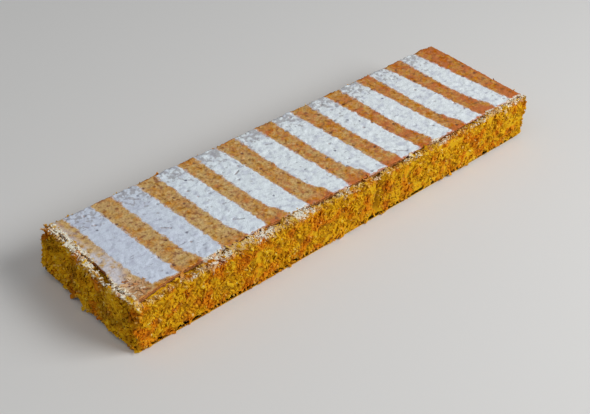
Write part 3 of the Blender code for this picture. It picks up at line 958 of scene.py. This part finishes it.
def sheet_material():
    material, add, shader = new_material("baked puff pastry", 0.7, 0.05)
    place = add("ShaderNodeTexCoord").outputs["Object"]
    toasted = add("ShaderNodeAttribute", {"attribute_name": "toasted"}).outputs["Fac"]
    tanned = clouds(add, 110.0, 4.0)
    cloudy = add("ShaderNodeMath", {"operation": "MULTIPLY_ADD"}, {0: tanned, 1: 2.6, 2: -1.3}).outputs[0]
    bake = add("ShaderNodeMath", {"operation": "ADD", "use_clamp": True}, {0: toasted, 1: cloudy}).outputs[0]
    colour = ramp(add, bake, [
        (0.00, paint(214, 174, 104)), (0.30, paint(212, 158, 76)), (0.60, paint(212, 144, 46)),
        (0.85, paint(212, 132, 18)), (1.00, paint(202, 106, 2)),
    ])
    patches = clouds(add, 290.0, 3.0)
    colour = mix(add, times(add, spread(add, patches, 0.52, 0.68), 0.85), colour, (*paint(150, 88, 22), 1.0))
    lighter = times(add, spread(add, toasted, 1.3, 0.2), 0.75)
    colour = mix(add, times(add, spread(add, patches, 0.47, 0.30), lighter), colour, (*paint(234, 198, 128), 1.0))
    grit = clouds(add, 640.0, 3.0)
    colour = mix(add, times(add, spread(add, grit, 0.50, 0.66), 0.5), colour, (*paint(142, 78, 24), 1.0))
    spots = clouds(add, 210.0, 2.0)
    browned = times(add, spread(add, toasted, -0.2, 1.0), 0.8)
    colour = mix(add, times(add, spread(add, spots, 0.54, 0.66), browned), colour, (*paint(204, 108, 14), 1.0))
    colour = spotted(add, colour, paint(134, 70, 26), 0.75, 140.0, 0.55, 0.27)
    colour = spotted(add, colour, paint(236, 196, 130), lighter, 230.0, 0.55, 0.36)
    scorched = add("ShaderNodeAttribute", {"attribute_name": "scorched"}).outputs["Fac"]
    colour = mix(add, times(add, scorched, 0.85), colour, (*paint(208, 104, 6), 1.0))
    # Painted shade: the docking holes and the slits are darkened inside, as shade falls in them.
    hole = add("ShaderNodeAttribute", {"attribute_name": "hole"}).outputs["Fac"]
    colour = mix(add, times(add, spread(add, hole, 0.05, 0.6), 0.9), colour, (*paint(104, 54, 22), 1.0))
    torn = add("ShaderNodeAttribute", {"attribute_name": "torn"}).outputs["Fac"]
    colour = mix(add, times(add, torn, 0.7), colour, (*paint(204, 158, 112), 1.0))
    # The cut edge's layers are browned lips. The dark bands between them are painted shade, where the set-back layers
    # leave gaps.
    layer = add("ShaderNodeAttribute", {"attribute_name": "layer"}).outputs["Fac"]
    lips = ramp(add, layer, [
        (0.00, paint(190, 108, 44)), (0.10, paint(150, 72, 24)), (0.26, paint(116, 50, 14)),
        (0.36, paint(218, 148, 84)), (0.50, paint(184, 106, 50)), (0.62, paint(110, 50, 16)),
        (0.74, paint(206, 146, 92)), (1.00, paint(140, 78, 36)),
    ])
    colour = mix(add, spread(add, layer, 0.01, 0.06), colour, lips)
    sugar = add("ShaderNodeAttribute", {"attribute_name": "sugar"}).outputs["Fac"]
    grains = clouds(add, 1100.0, 2.0)
    loose = add("ShaderNodeMath", {"operation": "MULTIPLY_ADD"}, {0: grains, 1: 6.0, 2: sugar}).outputs[0]
    colour = mix(add, times(add, spread(add, loose, 1.4, 3.4), 0.85), colour, (*paint(216, 208, 212), 1.0))
    haze = add("ShaderNodeAttribute", {"attribute_name": "haze"}).outputs["Fac"]
    drift = clouds(add, 210.0, 4.0)
    lying = add("ShaderNodeMath", {"operation": "MULTIPLY_ADD"}, {0: drift, 1: 2.4, 2: -0.75}).outputs[0]
    bare = add("ShaderNodeMath", {"operation": "LESS_THAN"}, {0: layer, 1: 0.05}).outputs[0]
    stray = times(add, times(add, haze, bare), spread(add, lying, 0.0, 0.6))
    colour = mix(add, stray, colour, (*paint(220, 214, 216), 1.0))
    join(add, sugared(add, colour, 1.0), shader.inputs["Base Color"])
    bump = add("ShaderNodeBump", inputs={"Strength": 1.0, "Distance": 0.6 * MM, "Height": grit})
    join(add, bump.outputs["Normal"], shader.inputs["Normal"])
    return material


def make_sheet():
    bm = sheet_skin()
    inner = bm.verts.layers.float_vector["inner"]
    layer = bm.verts.layers.float.new("layer")
    sugar = bm.verts.layers.float["sugar"]
    hole = bm.verts.layers.float["hole"]
    edges = [edge for edge in bm.edges if edge.is_boundary]
    last_drop, last_set_back = 0.0, 0.0
    for number, (drop, set_back) in enumerate(LAYER_ROWS + ((None, 0.3 * MM),)):
        lowered = bmesh.ops.extrude_edge_only(bm, edges=edges)["geom"]
        edges = [e for e in lowered if isinstance(e, bmesh.types.BMEdge) and e.is_boundary]
        for vert in {vert for edge in edges for vert in edge.verts}:
            stray = 0.45 * MM * noise.noise(Vector((vert.co.x / (3 * MM), vert.co.y / (3 * MM), number * 1.7)))
            vert.co += vert[inner] * (set_back - last_set_back + stray * (0.5 if number % 2 else 1.0))
            vert.co.z = sheet_low.z if drop is None else vert.co.z - (drop - last_drop)
            vert[layer] = (number + 1) / (len(LAYER_ROWS) + 1)
            vert[sugar], vert[hole] = -9.0, 0.0
        last_drop, last_set_back = drop, set_back
    bmesh.ops.holes_fill(bm, edges=edges, sides=0)
    bmesh.ops.recalc_face_normals(bm, faces=bm.faces)
    return finished("baked_top_sheet", bm, sheet_material())


top_sheet = make_sheet()
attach(top_sheet, "root")
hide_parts("top_pastry_sheet")

# Flakes that have come loose lie over the torn corner.
loose_flakes = scattered(
    "loose_flakes", top_sheet, shard_shapes, "torn", 2.6 * MM, (2.2 * MM, 5.6 * MM), 0.4, -0.1 * MM, 91,
    crumb_material("loose flakes", 1.0, 1.5, FLAKE_TONES))
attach(loose_flakes, "root")

# Sugared crumbs lie over the sheet's edge where they are heaped against it.
edge_crumbs = scattered(
    "edge_crumbs", top_sheet, crumb_shapes, "littered", 1.1 * MM, (1.4 * MM, 3.6 * MM), math.pi, -0.3 * MM, 97,
    crumb_material("edge crumbs", 0.3, 1.6))
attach(edge_crumbs, "root")
for shapes in (crumb_shapes, grain_shapes, shard_shapes):
    for shape in list(shapes.objects):
        bpy.data.objects.remove(shape)
    bpy.data.collections.remove(shapes)


# ---------------------------------------------------------------------------------------------
# The icing sugar. It is sieved over strips laid across the block, which leaves straight white
# stripes with soft, grainy edges. The layer is thin: it sinks into the docking holes, and the
# pastry shows grey through its thin patches.
# ---------------------------------------------------------------------------------------------
SUGAR_SUNK = 0.10 * MM
SUGAR_BODY = 0.30 * MM


def thin_patch(place):
    """1 where the sugar lies so thin that the pastry shows through, most of all near the back."""
    at_back = 0.7 * smooth_step(18 * MM, 50 * MM, place.y)
    ragged = noise.noise(place / (4.0 * MM)) + 0.8 * noise.noise(place / (1.6 * MM))
    return smooth_step(0.25, 0.95, ragged * 0.8 + at_back)


def sugar_material():
    material, add, shader = new_material("icing sugar", 0.9, 0.1)
    place = add("ShaderNodeTexCoord").outputs["Object"]
    along = add("ShaderNodeSeparateXYZ", inputs={0: place}).outputs["X"]
    # Painted light: the sugar is painted darker and bluer towards the near end, for the cool shade that falls there.
    white = ramp(add, spread(add, along, block_low.x, block_high.x), [
        (0.05, paint(219, 228, 243)), (0.18, paint(238, 248, 254)), (0.38, paint(242, 251, 254)),
        (1.0, paint(243, 250, 252)),
    ])
    # Painted shade: soft grey patches and darker grey dots stand for the shade over the sugar's uneven surface.
    drift = clouds(add, 190.0, 4.0)
    colour = mix(add, times(add, spread(add, drift, 0.46, 0.68), 0.5), white, (*paint(182, 184, 204), 1.0))
    colour = spotted(add, colour, paint(104, 104, 124), 0.95, 130.0, 0.55, 0.22)
    grains = clouds(add, 900.0, 3.0)
    colour = mix(add, times(add, spread(add, grains, 0.55, 0.35), 0.3), colour, (*paint(196, 200, 210), 1.0))
    slanted = add("ShaderNodeMapping", inputs={"Vector": place, "Rotation": (0, 0, 0.6), "Scale": (90, 420, 1)})
    streaks = add("ShaderNodeTexNoise", inputs={"Vector": slanted.outputs[0], "Scale": 1.0, "Detail": 2.0})
    scratch = times(add, spread(add, streaks.outputs["Fac"], 0.66, 0.74), 0.75)
    colour = mix(add, scratch, colour, (*paint(150, 148, 160), 1.0))
    thin = add("ShaderNodeAttribute", {"attribute_name": "thin"}).outputs["Fac"]
    showing = add("ShaderNodeMath", {"operation": "MULTIPLY_ADD"}, {0: grains, 1: 1.2, 2: -0.6}).outputs[0]
    share = add("ShaderNodeMath", {"operation": "ADD", "use_clamp": True}, {0: thin, 1: showing}).outputs[0]
    colour = mix(add, times(add, spread(add, share, 0.2, 1.0), 0.62), colour, (*paint(150, 142, 142), 1.0))
    # Painted shade: the sugar greys in the docking holes and slits, as shade falls in them.
    hole = add("ShaderNodeAttribute", {"attribute_name": "hole"}).outputs["Fac"]
    colour = mix(add, times(add, spread(add, hole, 0.25, 0.7), 0.9), colour, (*paint(96, 88, 92), 1.0))
    join(add, colour, shader.inputs["Base Color"])
    bump = add("ShaderNodeBump", inputs={"Strength": 0.55, "Distance": 0.5 * MM, "Height": grains})
    join(add, bump.outputs["Normal"], shader.inputs["Normal"])
    return material


def make_sugar():
    bm = sheet_skin()
    sugar, hole = bm.verts.layers.float["sugar"], bm.verts.layers.float["hole"]
    thin = bm.verts.layers.float.new("thin")
    bare = [face for face in bm.faces if max(vert[sugar] for vert in face.verts) < -0.9]
    bmesh.ops.delete(bm, geom=bare, context="FACES")
    for vert in bm.verts:
        vert[thin] = thin_patch(vert.co)
        cover = smooth_step(-0.5, 0.9, vert[sugar]) * (1 - 0.5 * vert[thin])
        cover *= 1 - smooth_step(0.3, 0.7, vert[hole])
        heap = 0.04 * MM * noise.noise(vert.co / (1.7 * MM))
        vert.co.z += (SUGAR_THICKNESS + SUGAR_SUNK + heap) * cover - SUGAR_SUNK
    under = bmesh.ops.extrude_face_region(bm, geom=list(bm.faces))["geom"]
    sunk = [part for part in under if isinstance(part, bmesh.types.BMVert)]
    bmesh.ops.translate(bm, vec=(0.0, 0.0, -SUGAR_BODY), verts=sunk)
    bmesh.ops.recalc_face_normals(bm, faces=bm.faces)
    return finished("icing_sugar_stripes", bm, sugar_material())


sugar_stripes = make_sugar()
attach(sugar_stripes, "root")


# ---------------------------------------------------------------------------------------------
# The floor, the studio light and the camera.
# ---------------------------------------------------------------------------------------------
FLOOR_SIZE = 6.0
floor_mesh = bmesh.new()
bmesh.ops.create_grid(floor_mesh, x_segments=1, y_segments=1, size=FLOOR_SIZE / 2)
floor_material, floor_add, floor_shader = new_material("pale floor", 0.7, 0.2)
floor_shader.inputs["Base Color"].default_value = (0.80, 0.79, 0.77, 1.0)
floor = finished("floor", floor_mesh, floor_material)


def softbox(name, place, aim, size, power, colour=(1.0, 1.0, 1.0)):
    lamp = bpy.data.lights.new(name, "AREA")
    lamp.shape = "RECTANGLE"
    lamp.size, lamp.size_y = size
    lamp.energy = power
    lamp.color = colour
    holder = bpy.data.objects.new(name, lamp)
    holder.location = place
    holder.rotation_euler = (Vector(aim) - Vector(place)).to_track_quat("-Z", "Y").to_euler()
    bpy.context.scene.collection.objects.link(holder)


softbox("key softbox", (0.75, -1.05, 1.10), (0, 0, 0.02), (1.1, 0.9), 20.5)
softbox("fill softbox", (-0.9, -0.2, 1.4), (0, 0, 0.02), (1.2, 1.2), 3.6)

world = bpy.data.worlds.new("studio")
world.use_nodes = True
world.node_tree.nodes["Background"].inputs["Color"].default_value = (0.93, 0.96, 1.0, 1.0)
world.node_tree.nodes["Background"].inputs["Strength"].default_value = 0.22
bpy.context.scene.world = world

# The view, from in front of the near end and above: angles in degrees, sizes in metres.
AZIMUTH, ELEVATION, ROLL = -48.22, 37.01, 5.875
AIM = Vector((-0.0120, -0.0043, 0.0))
DISTANCE = 0.9799
LENS = 77.53

turn, rise, roll = map(math.radians, (AZIMUTH, ELEVATION, ROLL))
back = Vector((math.sin(turn) * math.cos(rise), -math.cos(turn) * math.cos(rise), math.sin(rise)))
camera = bpy.data.objects.new("camera", bpy.data.cameras.new("camera"))
camera.data.lens = LENS
camera.data.sensor_width = 36.0
camera.location = AIM + back * DISTANCE
right = (-back).cross(Vector((0, 0, 1))).normalized()
up = back.cross(right)
tilted_right = right * math.cos(roll) + up * math.sin(roll)
tilted_up = up * math.cos(roll) - right * math.sin(roll)
camera.rotation_mode = "QUATERNION"
camera.rotation_quaternion = Matrix((tilted_right, tilted_up, back)).transposed().to_quaternion()
bpy.context.scene.collection.objects.link(camera)
bpy.context.scene.camera = camera
bpy.context.scene.view_settings.view_transform = "Standard"
